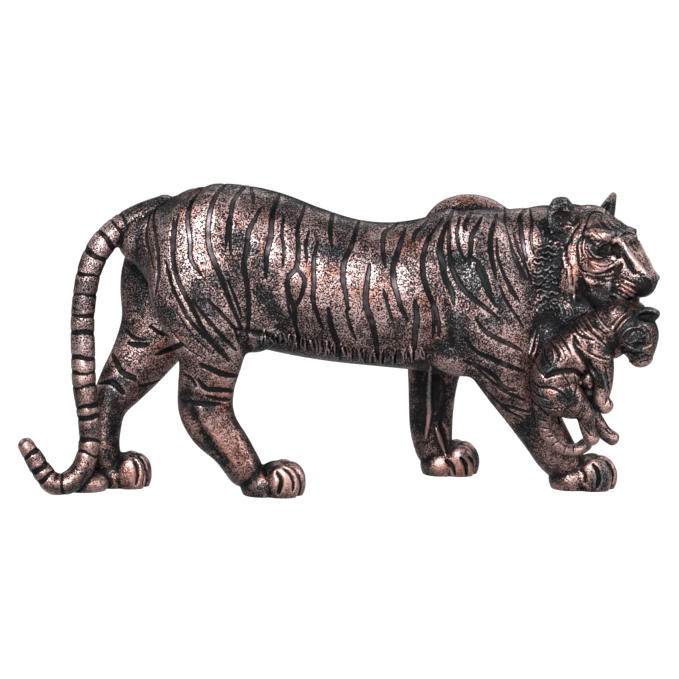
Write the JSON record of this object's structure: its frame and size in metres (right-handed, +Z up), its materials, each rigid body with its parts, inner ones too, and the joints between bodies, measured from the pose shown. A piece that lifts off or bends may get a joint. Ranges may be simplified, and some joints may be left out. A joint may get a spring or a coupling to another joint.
{
  "type": "tigress with cub statue",
  "caption": "Walking tigress carrying her cub in her jaws, a one-piece cold-cast statue with carved stripes and an antique copper finish.",
  "frame": {"origin": "on the floor under the middle of the statue's bounding box", "axes": "+X from the tail towards the tigress's nose, +Y towards her left flank, +Z up; the soles are at Z = 0"},
  "size_m": [0.444, 0.119, 0.2145],
  "materials": {
    "antique_copper": "cast resin with a black base coat and copper dry-brushed over the raised fur, semi-gloss"
  },
  "bodies": {
    "root": {"tigress_and_cub": "antique_copper"}
  },
  "joints": []
}
